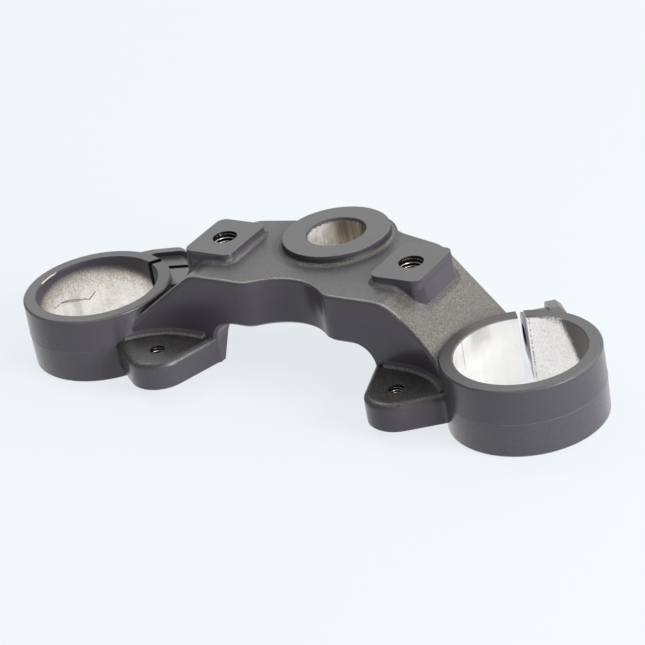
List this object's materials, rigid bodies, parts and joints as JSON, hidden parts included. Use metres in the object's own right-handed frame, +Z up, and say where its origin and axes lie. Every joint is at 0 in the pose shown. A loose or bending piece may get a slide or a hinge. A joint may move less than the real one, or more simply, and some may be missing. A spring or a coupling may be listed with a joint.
{
  "type": "motorcycle triple clamp",
  "caption": "Upper fork yoke: a cast bridge with a stem boss, bar pads and sloping arms that end in split clamps for the fork tubes, with ears for a lamp bracket.",
  "frame": {"origin": "steering stem axis, on the seat face under the stem boss", "axes": "X across the forks to the right, Y to the back of the yoke, forks ahead at -Y, Z up along the stem"},
  "size_m": [0.2576, 0.093, 0.047],
  "materials": {
    "coated_casting": "satin black coat over a fine cast grain, worn on the edges",
    "bare_aluminium": "bored and tapped bare aluminium, streaked and scratched"
  },
  "bodies": {
    "root": {"triple_clamp": "coated_casting"}
  },
  "joints": []
}
